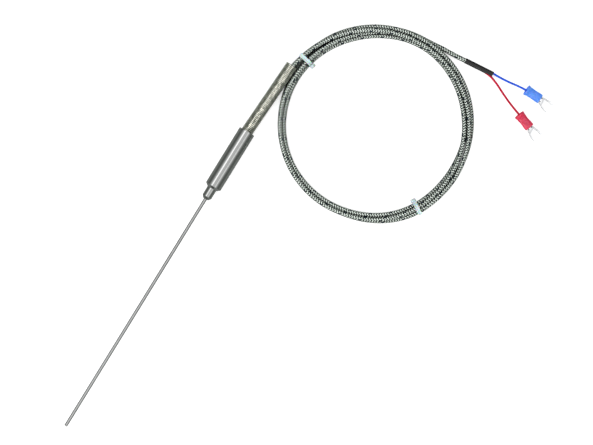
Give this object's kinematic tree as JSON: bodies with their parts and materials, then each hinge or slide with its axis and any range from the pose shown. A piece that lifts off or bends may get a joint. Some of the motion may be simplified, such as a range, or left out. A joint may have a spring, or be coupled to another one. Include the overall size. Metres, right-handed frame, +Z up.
{
  "type": "mineral-insulated thermocouple probe with pot, guard spring and coiled braided cable",
  "caption": "Thin straight mineral-insulated thermocouple with a steel pot, guard spring, coiled and tied metal-braided cable, and insulated fork terminals.",
  "frame": {"origin": "on the probe's axis at the nose bush's front face, where the immersed length of the sheath starts", "axes": "+X along the probe towards its tip; +Z up from the level surface that the pot, the coil and the terminals lie on, at z = -5.1 mm; +Y to the side where the cable's coil lies"},
  "size_m": [0.3202, 0.157, 0.0106],
  "materials": {
    "sheath_steel": "satin",
    "pot_steel": "polished",
    "weld": "satin",
    "magnesia": "matte",
    "thermoelement_alloy_positive": "satin",
    "thermoelement_alloy_negative": "satin",
    "sealing_epoxy": "matte",
    "splice_copper": "satin",
    "glass_fibre_sleeving": "matte",
    "spring_steel": "satin",
    "cable_braid": "satin",
    "tie_nylon": "satin",
    "heat_shrink": "satin",
    "blue_insulation": "satin",
    "red_insulation": "satin",
    "blue_vinyl": "gloss",
    "red_vinyl": "gloss",
    "tinned_copper": "polished"
  },
  "bodies": {
    "root": {"sheath_tube": "sheath_steel", "sheath_tip_cap": "sheath_steel", "magnesia_core": "magnesia", "thermoelement_positive": "thermoelement_alloy_positive", "thermoelement_negative": "thermoelement_alloy_negative", "hot_junction": "weld", "sheath_end_seal": "sealing_epoxy", "bush_weld": "weld", "nose_bush": "pot_steel", "pot_sleeve": "pot_steel", "potting_compound": "sealing_epoxy", "splice_positive": "splice_copper", "splice_negative": "splice_copper", "splice_sleeving_positive": "glass_fibre_sleeving", "splice_sleeving_negative": "glass_fibre_sleeving", "tail_core_positive": "thermoelement_alloy_positive", "tail_core_negative": "thermoelement_alloy_negative", "tail_insulation_positive": "red_insulation", "tail_insulation_negative": "blue_insulation", "cable_ferrule": "pot_steel", "guard_spring": "spring_steel", "cable_lead": "cable_braid", "cable_coil": "cable_braid", "cable_tail": "cable_braid", "coil_tie_upper": "tie_nylon", "coil_tie_head_upper": "tie_nylon", "coil_tie_lower": "tie_nylon", "coil_tie_head_lower": "tie_nylon", "breakout_sleeve": "heat_shrink", "lead_blue": "blue_insulation", "lead_red": "red_insulation", "lead_strands_blue": "thermoelement_alloy_negative", "lead_strands_red": "thermoelement_alloy_positive", "fork_blue": "tinned_copper", "fork_red": "tinned_copper", "fork_sleeve_blue": "blue_vinyl", "fork_sleeve_red": "red_vinyl"}
  },
  "joints": []
}
